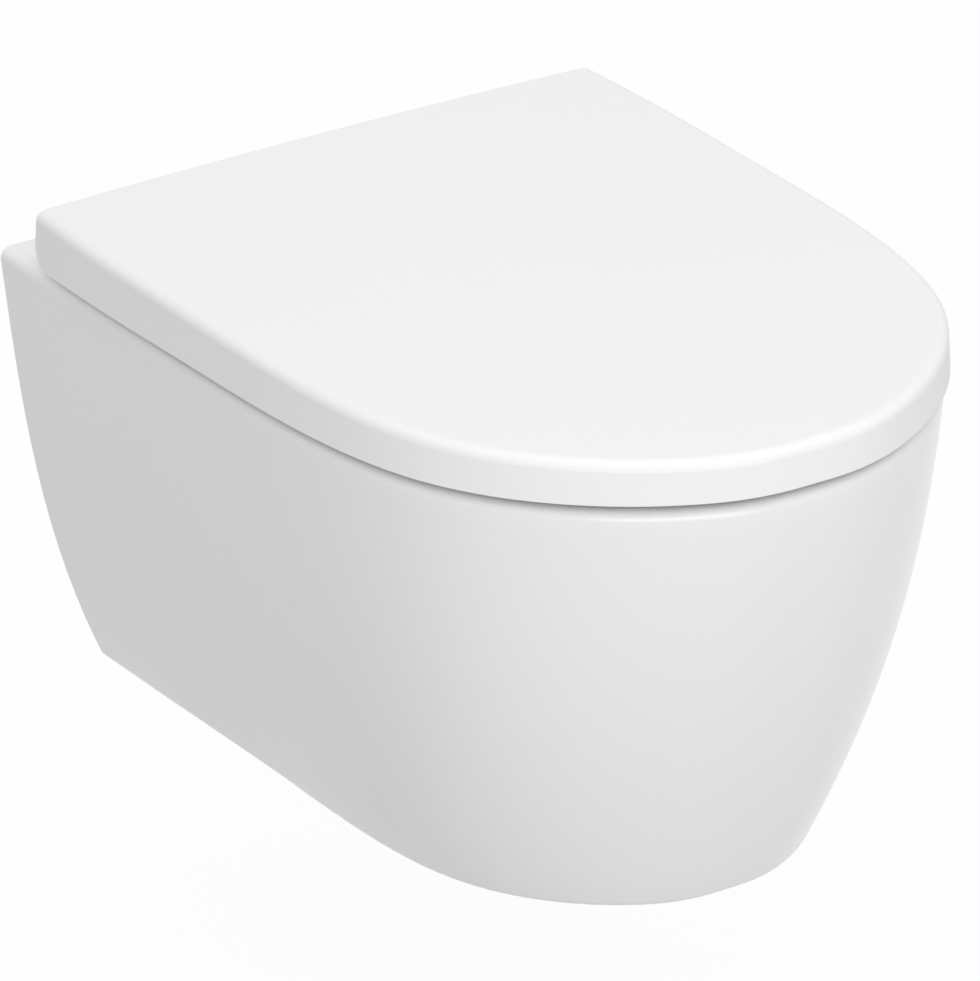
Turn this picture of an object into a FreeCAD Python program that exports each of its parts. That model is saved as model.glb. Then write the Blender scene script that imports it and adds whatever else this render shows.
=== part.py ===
import FreeCAD
import Part
import Sketcher
import math
import os
import re
from FreeCAD import Placement, Rotation, Vector

# A wall hung toilet, closed.  Millimetres.  The wall is the plane Y = 0, the toilet
# reaches out towards -Y, +X is right as seen from the front and +Z is up.  The origin
# lies on the wall, midway between the two wall fixings.

doc = FreeCAD.newDocument("WallHungToilet")
sheet = doc.addObject("Spreadsheet::Sheet", "Sizes")

SIZES = [
    # the ceramic pan, outside
    ("rim_height", 80, "rim above the wall fixings"),
    ("rim_width", 358, "width of the pan at rim and wall"),
    ("rim_reach", 499, "wall to the front of the rim"),
    ("upper_belly_inset", 10.6, "rim's side to where the side leaves it towards"),
    ("lower_belly_inset", 21.4, "rim's side to where the side meets the foot from"),
    ("foot_inset", 62.4, "rim's side to the foot's side"),
    ("upper_belly_setback", 8, "rim's front to where the front leaves it towards"),
    ("lower_belly_setback", 34, "rim's front to where the front meets the foot from"),
    ("foot_setback", 72.5, "rim's front to the foot's front"),
    ("rim_rounding", 6, "outer edge of the rim"),
    ("foot_rounding", 7, "edge of the underside"),
    # the ceramic pan, inside
    ("shell_wall", 11, "outer skin of the pan"),
    ("deck_wall", 14, "top of the pan"),
    ("floor_wall", 12, "bottom of the pan"),
    ("bowl_wall", 9, "wall of the bowl and waterways"),
    ("rim_ledge", 48, "rim's side to the bowl's opening"),
    ("rim_front_ledge", 44, "rim's front to the bowl's opening"),
    ("opening_back", 146, "wall to the back of the opening"),
    ("opening_rounding", 9, "inner edge of the rim"),
    ("sump_width", 84, "sump across, at its mouth"),
    ("sump_length", 84, "sump from back to front, at its mouth"),
    ("sump_mouth_depth", 196, "rim to the sump's mouth"),
    ("sump_depth", 235, "rim to the sump's bottom"),
    ("sump_narrowing", 8, "sump, from its mouth to its bottom, on each side"),
    ("underside_gap", 26, "sump's bottom to the underside"),
    # waterways
    ("inlet_above_fixings", 35, "flush inlet above the wall fixings"),
    ("inlet_depth", 46, "wall to the end of the flush inlet's socket"),
    ("inlet_setback", 4, "wall to the flush inlet's end"),
    ("channel_radius", 20, "flush channel to the bowl"),
    ("outlet_below_fixings", 100, "outlet below the wall fixings"),
    ("outlet_radius", 51, "outside of the outlet spigot"),
    ("outlet_wall", 6, "outlet spigot"),
    ("outlet_length", 58, "wall to the end of the spigot's straight"),
    ("outlet_setback", 3, "wall to the spigot's end"),
    ("outlet_taper", 36, "spigot's straight to the trapway's last bend"),
    ("trap_radius", 27, "trapway bore"),
    ("trap_fall", 84, "trapway's last bend to its crown, along the wall's normal"),
    ("trap_rise", 60, "trapway's crown to its lower bend, along the wall's normal"),
    ("trap_run", 52, "trapway's lower bend to its start in the sump"),
    ("trap_crown_depth", 85, "rim to the corner of the crown"),
    ("trap_bend", 38, "radius of the trapway's bends"),
    # wall fixings
    ("fixing_spacing", 180, "between the wall fixings"),
    ("fixing_hole_radius", 6.5, "hole for an M12 wall stud"),
    ("bracket_length", 46, "wall bracket"),
    ("bracket_base", 8, "base of the wall bracket"),
    ("bracket_wall", 3.5, "side of the wall bracket"),
    ("washer_radius", 12, "M12 washer"),
    ("washer_room", 0.5, "M12 washer to the bracket's bore"),
    ("washer_thickness", 2.5, "M12 washer"),
    ("nut_flats", 19, "M12 nut across its flats"),
    ("nut_height", 10, "M12 nut"),
    ("nut_bore_radius", 5.2, "M12 nut"),
    ("pad_wall", 7, "ceramic round the bracket"),
    ("pad_end", 15.7, "ceramic behind the bracket's end"),
    ("web_thickness", 12, "web from pad to shell"),
    ("clamp_setback", 32, "wall to the clamp screw"),
    ("clamp_radius", 4, "clamp screw"),
    ("clamp_length", 30, "clamp screw without its head"),
    ("clamp_head_radius", 6.5, "clamp screw"),
    ("clamp_head_height", 5, "clamp screw"),
    ("clamp_tip_gap", 1, "clamp screw's tip to the bracket's bore"),
    ("clamp_bush_wall", 2.5, "nylon bush of the clamp screw"),
    ("clamp_bush_rim", 2.5, "flange of the nylon bush past its body"),
    ("clamp_bush_flange", 2.5, "flange of the nylon bush"),
    ("access_radius", 10, "hole in the underside for the key"),
    # lid
    ("lid_overhang", 2.8, "lid's side past the rim's side"),
    ("lid_front_overhang", 1.8, "lid's front past the rim's front"),
    ("lid_rear", 39.6, "wall to the rear edge of the lid"),
    ("lid_gap", 4.5, "rim to the lower edge of the lid"),
    ("lid_crown", 2.3, "rise of the lid across its width"),
    ("lid_camber", 1.2, "rise of the lid along its length"),
    ("lid_fall", 9.5, "lid's top at its rear over its top at the front"),
    ("lid_draft", 1.2, "lean of the lid's side"),
    ("lid_rounding", 6, "upper edge of the lid"),
    ("lid_wall", 5, "side of the lid"),
    ("lid_top", 6, "top of the lid"),
    ("lid_corner", 13, "rear lower corner of the lid's side"),
    ("lid_lip", 4, "lip under the rear edge"),
    ("boss_margin", 1.5, "lid's bosses inside the hinge arms that they carry"),
    # seat
    ("seat_inset", 10, "lid's edge to the seat's edge"),
    ("seat_behind", 18, "hinge axis to the seat's rear edge"),
    ("seat_gap", 5, "rim to the seat"),
    ("seat_thickness", 15, "seat ring"),
    ("seat_headroom", 9.2, "seat to the lid's ceiling, at the sides of its rear"),
    ("seat_overlap", 23, "bowl's opening to the seat's hole, at sides and front"),
    ("seat_back_overlap", 10, "bowl's opening to the seat's hole, at the back"),
    ("seat_outer_rounding", 6, "upper outer edge"),
    ("seat_inner_rounding", 8, "upper inner edge"),
    ("seat_under_rounding", 2.7, "lower inner edge"),
    ("buffer_radius", 8, "seat buffer"),
    ("buffer_stem_radius", 2.6, "seat buffer"),
    ("buffer_stem", 7, "seat buffer"),
    ("rear_buffer_inset", 21.8, "seat's side to its rear buffers"),
    ("rear_buffer_forward", 29, "back of the bowl's opening to the rear buffers"),
    ("front_buffer_inset", 38.8, "seat's front to its front buffers"),
    ("front_buffer_spacing", 150, "between the front buffers"),
    ("lid_buffer_radius", 5, "lid buffer"),
    ("lid_buffer_step", 15, "seat buffer to lid buffer"),
    # hinge
    ("hinge_spacing", 155, "between the hinge posts"),
    ("hinge_room", 1.4, "lid's lip to the hinge barrels"),
    ("hinge_headroom", 3, "hinge barrels to the lid's ceiling, in the middle"),
    ("barrel_radius", 9, "hinge barrels and blocks"),
    ("block_width", 18, "hinge block"),
    ("block_rounding", 1.5, "upright edges of the hinge block"),
    ("side_gap", 0.5, "between hinge block and arms"),
    ("arm_reach", 58, "hinge arms, from the axis"),
    ("arm_wall", 1.95, "hinge arm round its hub"),
    ("arm_end_wall", 2, "hinge arm, closed end"),
    ("hub_length", 31, "dampers and bushes"),
    ("hub_room", 1, "hub to the closed end of the hinge arm"),
    ("damper_collar", 1.6, "damper's end collar over its bore"),
    ("damper_collar_length", 1.2, "damper's end collar"),
    ("pin_radius", 4, "hinge pin"),
    ("pin_chamfer", 0.5, "ends of the hinge pin"),
    ("lid_plate_rise", 0.5, "plate of the lid arm over its barrel"),
    ("lid_arm_plate", 3.5, "plate of the lid arm"),
    ("seat_arm_plate", 6.6, "plate of the seat arm"),
    ("screw_radius", 2, "hinge arm screws"),
    ("screw_head_radius", 3.6, "hinge arm screws"),
    ("screw_head_height", 2, "hinge arm screws"),
    ("lid_screw_length", 8, "hinge arm screws in the lid"),
    ("seat_screw_length", 11, "hinge arm screws in the seat"),
    ("screw_first", 24, "hinge axis to the first screw"),
    ("screw_margin", 10, "second screw to the arm's end"),
    ("gasket_inset", 0.5, "gasket inside the rosette's edge"),
    ("gasket_thickness", 0.8, "under the rosette"),
    ("rosette_radius", 17, "under the hinge block"),
    ("rosette_thickness", 2.2, "under the hinge block"),
    ("stud_head_radius", 4, "hinge stud above the rosette"),
    ("stud_pin_gap", 1.7, "top of the hinge stud to the pin"),
    ("stud_groove_radius", 3, "groove of the hinge stud"),
    ("stud_groove_width", 2.6, "groove of the hinge stud"),
    ("stud_radius", 3, "hinge stud in the deck"),
    ("sleeve_wall", 3, "expansion sleeve"),
    ("sleeve_length", 30, "expansion sleeve"),
    ("cone_height", 9, "nut under the expansion sleeve"),
    ("lift_gap", 0.3, "rosette to hinge block"),
    ("button_radius", 3.5, "release button"),
    ("button_cap_rim", 1.3, "release button's cap past its body"),
    ("button_cap", 1.5, "release button"),
    ("button_travel", 2, "release button"),
    ("button_rest_gap", 0.5, "pressed button's cap to the hinge block"),
    ("button_clearance", 0.6, "pressed button to the hinge stud"),
    ("button_height", 10, "release button above the rim"),
    # flush fittings
    ("seal_bore_radius", 22.5, "for a 45 mm flush pipe"),
    ("seal_wall", 5, "inlet seal"),
    ("seal_length", 34, "inlet seal"),
    ("seal_flange_rim", 3.5, "flange of the inlet seal past its body"),
    ("seal_flange", 2.5, "inlet seal"),
    ("spreader_length", 40, "flush spreader"),
    ("spreader_stand", 16, "flush spreader into the bowl"),
    ("spreader_wall", 3, "flush spreader"),
    ("spreader_rim", 4, "flush spreader's cap over its body"),
    ("window_length", 10, "windows of the spreader, along the channel"),
    ("window_height", 18, "side windows of the spreader"),
    ("window_width", 14, "lower window of the spreader"),
    ("ring_width", 3, "sealing ring of the spreader"),
    ("ring_depth", 1.5, "sealing ring of the spreader"),
    ("ring_back", 12, "sealing ring from the spreader's end"),
    # fits
    ("slip", 0.05, "radial clearance of sliding and turning fits"),
    ("loose", 0.3, "clearance of parts that only lie together"),
    ("small_chamfer", 1, "ends of studs and screws, edges of buffers"),
    ("past", 1, "how far a cut runs past the surface that it opens"),
]

for row, (alias, number, note) in enumerate(SIZES, start=1):
    sheet.set("A%d" % row, alias)
    sheet.set("B%d" % row, str(number))
    sheet.set("C%d" % row, note)
    sheet.setAlias("B%d" % row, alias)
doc.recompute()


# Sizes as numbers and as formulas, and the sub-parts that are written out.

HAIR = 0.01


def size(alias):
    return float(sheet.get(alias))


def formula(text):
    """Write a formula of plain size names as one that the sheet answers."""
    return re.sub(r"[a-z]\w*", lambda word: "Sizes." + word.group(), text)


def value(text):
    answer = sheet.evalExpression(formula(text))
    return float(getattr(answer, "Value", answer))


# Sizes that follow from others, as formulas.

PAN_HEIGHT = "(sump_depth + underside_gap)"
OPENING_WIDTH = "(rim_width - 2 * rim_ledge)"
OPENING_FRONT = "(rim_reach - rim_front_ledge)"
INLET_RADIUS = "(seal_bore_radius + seal_wall)"
TRAP_LAST_BEND = "(outlet_length + outlet_taper)"
TRAP_CROWN = "(outlet_length + outlet_taper + trap_fall)"
SUMP_BACK = "(outlet_length + outlet_taper + trap_fall + trap_rise)"
BRACKET_BORE = "(washer_radius + washer_room)"
BRACKET_RADIUS = "(washer_radius + washer_room + bracket_wall)"
CLAMP_BUSH = "(clamp_radius + clamp_bush_wall)"
LID_WIDTH = "(rim_width + 2 * lid_overhang)"
LID_REACH = "(rim_reach + lid_front_overhang)"
LID_HEIGHT = "(seat_gap + seat_thickness + seat_headroom + lid_top)"
HINGE_SETBACK = "(lid_rear + lid_lip + hinge_room + barrel_radius)"
HINGE_HEIGHT = "(" + LID_HEIGHT + " + lid_crown - lid_top - hinge_headroom - barrel_radius)"
SEAT_REAR = "(" + HINGE_SETBACK + " + seat_behind)"
ARM_BORE = "(barrel_radius - arm_wall)"
ARM_BORE_DEPTH = "(hub_length + hub_room)"
ARM_WIDTH = "(hub_length + hub_room + arm_end_wall)"
HUB_RADIUS = "(barrel_radius - arm_wall - slip)"
HUB_BORE = "(pin_radius + slip)"
LID_ARM_TOP = "(" + HINGE_HEIGHT + " + barrel_radius + lid_plate_rise)"
SEAT_ARM_LOW = "(seat_gap + loose)"
SCREW_SETBACKS = ["(%s + screw_first)" % HINGE_SETBACK,
                  "(%s + arm_reach - screw_margin)" % HINGE_SETBACK]
SLEEVE_RADIUS = "(stud_radius + sleeve_wall)"
# Buffers of the seat and of the lid: distances from the middle plane and from the wall.
BUFFER_PLACES = [
    ("(%s / 2 - seat_inset - rear_buffer_inset)" % LID_WIDTH,
     "(opening_back + rear_buffer_forward)"),
    ("(front_buffer_spacing / 2)",
     "(%s - seat_inset - front_buffer_inset)" % LID_REACH),
]

nodes = []


def node(item, label):
    item.Label = label
    nodes.append(item)
    return item


def bind(item, **formulas):
    for name, text in formulas.items():
        item.setExpression(name, formula(text))


def place(item, x="0", y="0", z="0", turn=None):
    """Put a sub-part at a place that follows the sheet, turned by (axis, degrees)."""
    if turn:
        item.Placement = Placement(Vector(), Rotation(*turn))
    for name, text in (("x", x), ("y", y), ("z", z)):
        item.setExpression("Placement.Base." + name, formula(text))


def origin_plane(body, role):
    return [part for part in body.Origin.OriginFeatures if part.Role == role][0]


def sketch_on(body, role, name):
    sketch = body.newObject("Sketcher::SketchObject", name)
    sketch.AttachmentSupport = (origin_plane(body, role), [""])
    sketch.MapMode = "FlatFace"
    return sketch


def fix_point(sketch, shape, point, across, up):
    for kind, text in (("DistanceX", across), ("DistanceY", up)):
        rule = Sketcher.Constraint(kind, -1, 1, shape, point, value(text))
        number = sketch.addConstraint(rule)
        sketch.setExpression("Constraints[%d]" % number, formula(text))


def draw_corners(sketch, corners):
    """A closed outline of straight lines through corners (across, up)."""
    spots = [Vector(value(across), value(up), 0) for across, up in corners]
    for start, end in zip(spots, spots[1:] + spots[:1]):
        sketch.addGeometry(Part.LineSegment(start, end), False)
    last = len(spots) - 1
    for index, (across, up) in enumerate(corners):
        before = index - 1 if index else last
        sketch.addConstraint(Sketcher.Constraint("Coincident", before, 2, index, 1))
        fix_point(sketch, index, 1, across, up)


def draw_circle(sketch, across, up, radius):
    centre = Vector(value(across), value(up), 0)
    index = sketch.addGeometry(Part.Circle(centre, Vector(0, 0, 1), value(radius)), False)
    fix_point(sketch, index, 3, across, up)
    number = sketch.addConstraint(Sketcher.Constraint("Radius", index, value(radius)))
    sketch.setExpression("Constraints[%d]" % number, formula(radius))


def turned(name, corners):
    """A turned piece: corners are (radius, height), turned about its own Z axis."""
    body = doc.addObject("PartDesign::Body", name)
    sketch = sketch_on(body, "XZ_Plane", name + "_profile")
    draw_corners(sketch, corners)
    turning = body.newObject("PartDesign::Revolution", name + "_turning")
    turning.Profile = sketch
    turning.ReferenceAxis = (sketch, ["V_Axis"])
    turning.Angle = 360
    return body


def tube(name, outer, inner, low, high):
    return turned(name, [(inner, low), (outer, low), (outer, high), (inner, high)])


def mirrored(source, name):
    """The same piece on the other side of the toilet's middle plane."""
    twin = doc.addObject("Part::Mirroring", name)
    twin.Source = source
    twin.Normal = Vector(1, 0, 0)
    return twin


def group(name, pieces):
    """Like pieces that share one node, each still a solid of its own."""
    together = doc.addObject("Part::Compound", name)
    together.Links = pieces
    return node(together, name)


def pair(name, source):
    return group(name, [source, mirrored(source, name + "_twin")])


def left_and_right(source, name):
    node(source, name + "_right")
    return node(mirrored(source, name + "_twin"), name + "_left")


# Outlines of pan, lid and seat.  One smooth curve runs from the rear of one side round
# the front to the other; fullness gives, for four of its control points, the share of
# the half width and the share of the reach.

RIM_FULLNESS = [(1.02, 0.2155), (1.012, 0.3594), (1.036, 0.8068), (0.327, 1.0)]
FOOT_FULLNESS = [(1.02, 0.2), (1.003, 0.41), (1.1, 0.82), (0.38, 1.0)]
LID_FULLNESS = [(1.024, 0.2155), (1.007, 0.3594), (1.034, 0.8068), (0.327, 1.0)]
# How far each control point moves sideways and back when the outline is drawn in.
DRAW_IN = [(1.0, 0.0), (1.0, 0.0), (1.0, 0.0), (0.95, 0.6), (0.25, 1.0), (0.0, 1.0)]
SECTIONS = 7


def front_outline(half_width, rear, reach, fullness, height, inset=0.0):
    control = [(half_width, rear)]
    control += [(half_width * wide, reach * far) for wide, far in fullness]
    control += [(0.0, reach)]
    side = [
        (x - inset * sideways, -(y - inset * back))
        for (x, y), (sideways, back) in zip(control, DRAW_IN)
    ]
    poles = side + [(-x, y) for x, y in reversed(side[:-1])]
    degree = 3
    spans = len(poles) - degree
    knots = [index / spans for index in range(spans + 1)]
    repeats = [degree + 1] + [1] * (spans - 1) + [degree + 1]
    curve = Part.BSplineCurve()
    points = [Vector(x, y, height) for x, y in poles]
    curve.buildFromPolesMultsKnots(points, repeats, knots, False, degree)
    edge = curve.toShape()
    back_edge = Part.makeLine(points[-1], points[0])
    return Part.Wire([edge, back_edge])


def bezier(first, leaving, meeting, last, share):
    rest = 1 - share
    ends = first * rest ** 3 + last * share ** 3
    return ends + 3 * rest * share * (leaving * rest + meeting * share)


def mix(first, last, share):
    return first + (last - first) * share


def pan_outline(height, inset, rear):
    """The pan's outline at a height, drawn in by inset."""
    share = (size("rim_height") - height) / value(PAN_HEIGHT)
    stages = ("upper_belly", "lower_belly", "foot")
    in_from_side = bezier(0.0, *[size(stage + "_inset") for stage in stages], share)
    back_from_front = bezier(0.0, *[size(stage + "_setback") for stage in stages], share)
    half_width = size("rim_width") / 2 - in_from_side
    reach = size("rim_reach") - back_from_front
    fullness = [
        (mix(rim[0], foot[0], share), mix(rim[1], foot[1], share))
        for rim, foot in zip(RIM_FULLNESS, FOOT_FULLNESS)
    ]
    return front_outline(half_width, rear, reach, fullness, height, inset)


def pan_form(top, bottom, inset, rear):
    steps = [index / (SECTIONS - 1) for index in range(SECTIONS)]
    wires = [pan_outline(mix(top, bottom, step), inset, rear) for step in steps]
    return Part.makeLoft(wires, True, False)


def egg(half_width, front, back, height):
    """A closed oval, a little wider towards the wall."""
    corners = 16
    widening = 0.05
    middle = -(front + back) / 2
    half_length = (front - back) / 2
    points = []
    for index in range(corners):
        angle = 2 * math.pi * index / corners
        x = half_width * math.cos(angle) * (1 + widening * math.sin(angle))
        points.append(Vector(x, middle + half_length * math.sin(angle), height))
    curve = Part.BSplineCurve()
    curve.interpolate(Points=points, PeriodicFlag=True)
    return Part.Wire([curve.toShape()])


def edges_at(shape, height, test):
    """Edges that lie flat at a height and whose middle passes the test."""
    found = []
    for edge in shape.Edges:
        box = edge.BoundBox
        if abs(box.ZMin - height) < HAIR and abs(box.ZMax - height) < HAIR and test(box):
            found.append(edge)
    return found


# The pan: vitreous china, cast as five pieces that are stuck together in the clay and
# glazed as one.  The rim carries the seat and the shell hangs from it, hollow and open to
# the wall.  In it hangs the bowl, and from its sump the trapway rises over a weir and
# falls to the outlet spigot.  The flush inlet runs from the wall to the bowl.

rim = size("rim_height")
foot = rim - value(PAN_HEIGHT)
outlet_z = -size("outlet_below_fixings")
inlet_z = size("inlet_above_fixings")
bowl_wall = size("bowl_wall")
past = size("past")


def runs_forward(box):
    return box.YLength > past


# The outside is made longer than the pan and cut off at the wall, so that its rounded
# edges run out square to it.
behind_wall = 20.0
outer = pan_form(rim, foot, 0.0, -behind_wall)
outer = outer.makeFillet(size("rim_rounding"), edges_at(outer, rim, runs_forward))
outer = outer.makeFillet(size("foot_rounding"), edges_at(outer, foot, runs_forward))
all_wide = size("rim_width") + 2 * behind_wall
all_high = rim - foot + 2 * behind_wall
at_wall = Vector(-all_wide / 2, 0, foot - behind_wall)
outer = outer.cut(Part.makeBox(all_wide, 2 * behind_wall, all_high, at_wall))

cavity_top = rim - size("deck_wall")
cavity_floor = foot + size("floor_wall")
cavity = pan_form(cavity_top, cavity_floor, size("shell_wall"), -past)


def bowl_form(wall):
    """The bowl from the rim down to its sump, thickened by wall."""
    mouth = rim - size("sump_mouth_depth")
    sump_back = value(SUMP_BACK)
    sump_front = sump_back + size("sump_length")
    steepness = 2.2
    wires = []
    for index in range(SECTIONS):
        share = index / (SECTIONS - 1)
        spread = 1 - share ** steepness
        half_width = mix(size("sump_width"), value(OPENING_WIDTH), spread) / 2 + wall
        front = mix(sump_front, value(OPENING_FRONT), spread) + wall
        back = mix(sump_back, size("opening_back"), spread) - wall
        wires.append(egg(half_width, front, back, mix(rim, mouth, share)))
    narrowing = size("sump_narrowing")
    bottom = rim - size("sump_depth") - wall
    half_width = size("sump_width") / 2 + wall - narrowing
    front = sump_front + wall - narrowing
    back = sump_back - wall + narrowing
    wires.append(egg(half_width, front, back, bottom))
    form = Part.makeLoft(wires, True, False)
    return form.makeFillet(narrowing, edges_at(form, bottom, lambda box: True))


trap_start = value(SUMP_BACK) + size("trap_run")


def trap_route():
    """The trapway's middle line: straight runs and tangent arcs in the plane X = 0."""
    low = rim - size("sump_depth") + size("trap_radius")
    corners = [
        Vector(0, -trap_start, low),
        Vector(0, -value(SUMP_BACK), low),
        Vector(0, -value(TRAP_CROWN), rim - size("trap_crown_depth")),
        Vector(0, -value(TRAP_LAST_BEND), outlet_z),
        Vector(0, 0, outlet_z),
    ]
    bend = size("trap_bend")
    edges = []
    start = corners[0]
    for before, corner, after in zip(corners, corners[1:], corners[2:]):
        incoming = (corner - before).normalize()
        outgoing = (after - corner).normalize()
        turn = incoming.getAngle(outgoing)
        tangent = bend * math.tan(turn / 2)
        first = corner - incoming * tangent
        last = corner + outgoing * tangent
        towards = (outgoing - incoming).normalize()
        centre = corner + towards * (bend / math.cos(turn / 2))
        middle = centre - towards * bend
        edges.append(Part.makeLine(start, first))
        edges.append(Part.Arc(first, middle, last).toShape())
        start = last
    edges.append(Part.makeLine(start, corners[-1]))
    return Part.Wire(edges)


route = trap_route()


def trapway(wall):
    radius = size("trap_radius") + wall
    begin = Vector(0, -trap_start, route.Vertexes[0].Point.z)
    ring = Part.Wire([Part.makeCircle(radius, begin, Vector(0, 1, 0))])
    return route.makePipeShell([ring], True, False)


def along_wall_normal(radius, near, far, x, z):
    """A round bar square to the wall, from a distance near the wall to one far from it."""
    return Part.makeCylinder(radius, far - near, Vector(x, -far, z), Vector(0, 1, 0))


def spigot(radius, near, wall):
    far = size("outlet_length")
    straight = along_wall_normal(radius, near, far, 0, outlet_z)
    throat = size("trap_radius") + wall
    start = Vector(0, -value(TRAP_LAST_BEND), outlet_z)
    cone = Part.makeCone(throat, radius, size("outlet_taper"), start, Vector(0, 1, 0))
    return straight.fuse(cone)


inlet_outer = value(INLET_RADIUS) + bowl_wall
channel_outer = size("channel_radius") + bowl_wall
channel_far = size("opening_back") + bowl_wall
inlet_depth = size("inlet_depth")
horn_far = inlet_depth + bowl_wall
horn = along_wall_normal(inlet_outer, size("inlet_setback"), horn_far, 0, inlet_z)
channel = along_wall_normal(channel_outer, inlet_depth, channel_far, 0, inlet_z)
horn_bore = along_wall_normal(value(INLET_RADIUS), -past, inlet_depth, 0, inlet_z)
channel_bore = along_wall_normal(size("channel_radius"), 0, channel_far + past, 0, inlet_z)

pocket_radius = value(BRACKET_RADIUS) + size("loose")
pocket_depth = size("bracket_length") + size("loose")
pad_half = pocket_radius + size("pad_wall")
fixing_x = size("fixing_spacing") / 2
pad_depth = pocket_depth + size("pad_end")
hinge_setback = value(HINGE_SETBACK)
pads = []
pockets = []
for side in (-1, 1):
    x = side * fixing_x
    corner = Vector(x - pad_half, -pad_depth, -pad_half)
    pads.append(Part.makeBox(2 * pad_half, pad_depth, 2 * pad_half, corner))
    web = size("web_thickness")
    web_start = x if side > 0 else -size("rim_width") / 2
    web_reach = size("rim_width") / 2 - fixing_x
    pads.append(Part.makeBox(web_reach, pad_depth, web, Vector(web_start, -pad_depth, -web / 2)))
    pockets.append(along_wall_normal(pocket_radius, -past, pocket_depth, x, 0))
    clamp_at = Vector(x, -size("clamp_setback"), -pad_half - past)
    bush_radius = value(CLAMP_BUSH) + size("slip")
    pockets.append(Part.makeCylinder(bush_radius, size("pad_wall") + 2 * past, clamp_at))
    access_at = Vector(x, -size("clamp_setback"), foot - past)
    access_high = size("floor_wall") + 2 * past
    pockets.append(Part.makeCylinder(size("access_radius"), access_high, access_at))
    deck_at = Vector(side * size("hinge_spacing") / 2, -hinge_setback, cavity_top - past)
    hole_radius = value(SLEEVE_RADIUS) + size("slip")
    pockets.append(Part.makeCylinder(hole_radius, size("deck_wall") + 2 * past, deck_at))

bores = [bowl_form(0.0), trapway(0.0), horn_bore, channel_bore]
bores.append(spigot(size("outlet_radius") - size("outlet_wall"), -past, 0.0))
all_deep = size("rim_reach") + 2 * behind_wall
seam_at = Vector(-all_wide / 2, behind_wall - all_deep, cavity_top)
above_seam = Part.makeBox(all_wide, all_deep, all_high, seam_at)


def goes_round_opening(box):
    as_wide = box.XLength > value(OPENING_WIDTH) - 2 * past
    return as_wide and box.YMax < past - size("opening_back")


rim_piece = outer.common(above_seam).cut([bores[0]] + pockets)
opening_edges = edges_at(rim_piece, rim, goes_round_opening)
rim_piece = rim_piece.makeFillet(size("opening_rounding"), opening_edges)
shell_piece = outer.cut([above_seam, cavity.cut(pads)]).cut(pockets)
bowl_outside = bowl_form(bowl_wall)
bowl_piece = bowl_outside.cut([above_seam] + bores)
far_spigot = spigot(size("outlet_radius"), size("outlet_setback"), bowl_wall)
trapway_piece = trapway(bowl_wall).fuse(far_spigot).cut([bowl_outside] + bores)
inlet_piece = horn.fuse(channel).cut([above_seam, bowl_outside, horn_bore, channel_bore])
china = [
    ("rim", rim_piece),
    ("shell", shell_piece),
    ("bowl", bowl_piece),
    ("trapway", trapway_piece),
    ("inlet", inlet_piece),
]
for name, piece in china:
    cast = doc.addObject("Part::Feature", "pan_" + name)
    cast.Shape = piece
    node(cast, "pan_" + name)

# The lid: a wrap-over shell with a crowned top, whose side hangs past the seat.

lid_half = value(LID_WIDTH) / 2
lid_reach = value(LID_REACH)
lid_height = value(LID_HEIGHT)
lid_rear = size("lid_rear")


def lid_outline(inset, rear, height):
    return front_outline(lid_half, rear, lid_reach, LID_FULLNESS, height, inset)


def under_crown(drop):
    """All that lies below the lid's crowned and sloping top, lowered by drop."""
    overrun = 20
    side = lid_half + overrun
    crown = size("lid_crown")
    fall = crown * (side / lid_half) ** 2
    slope = size("lid_fall") / (lid_reach - lid_rear)
    low = rim - lid_height
    places = [-lid_rear + overrun, -(lid_rear + lid_reach) / 2, -lid_reach - overrun]
    wires = []
    for y, camber in zip(places, (0.0, size("lid_camber"), 0.0)):
        top = rim + lid_height + crown + camber - drop - slope * (-y - lid_rear)
        left = Vector(-side, y, top - fall)
        right = Vector(side, y, top - fall)
        arch = Part.Arc(left, Vector(0, y, top), right).toShape()
        low_right = Vector(side, y, low)
        low_left = Vector(-side, y, low)
        lines = [Part.makeLine(right, low_right), Part.makeLine(low_right, low_left)]
        lines.append(Part.makeLine(low_left, left))
        wires.append(Part.Wire([arch] + lines))
    return Part.makeLoft(wires, True, False)


def leaning_form(inset, rear, low, high):
    """The lid's outline as a solid whose side leans in as the lid's side does."""
    rise = lid_height - size("lid_rounding") - size("lid_gap")
    lean = size("lid_draft") / rise
    edge = rim + size("lid_gap")
    wires = [lid_outline(inset + lean * (z - edge), rear, z) for z in (low, high)]
    return Part.makeLoft(wires, True, True)


def box_between(x, y, z):
    """A box from three pairs of bounds."""
    low = Vector(min(x), min(y), min(z))
    return Part.makeBox(max(x) - low.x, max(y) - low.y, max(z) - low.z, low)


lid_edge = rim + size("lid_gap")
lid_above = rim + lid_height + 2 * size("lid_crown") + past
axis_y = -hinge_setback
axis_z = rim + value(HINGE_HEIGHT)
hinge_x = size("hinge_spacing") / 2
block_side = hinge_x + size("block_width") / 2
blank = leaning_form(0.0, lid_rear, lid_edge, lid_above).common(under_crown(0.0))
top_side = []
for edge in blank.Edges:
    box = edge.BoundBox
    if box.ZMin > rim + lid_height / 2 and box.YLength > lid_reach / 2:
        top_side.append(edge)
blank = blank.makeFillet(size("lid_rounding"), top_side)

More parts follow.
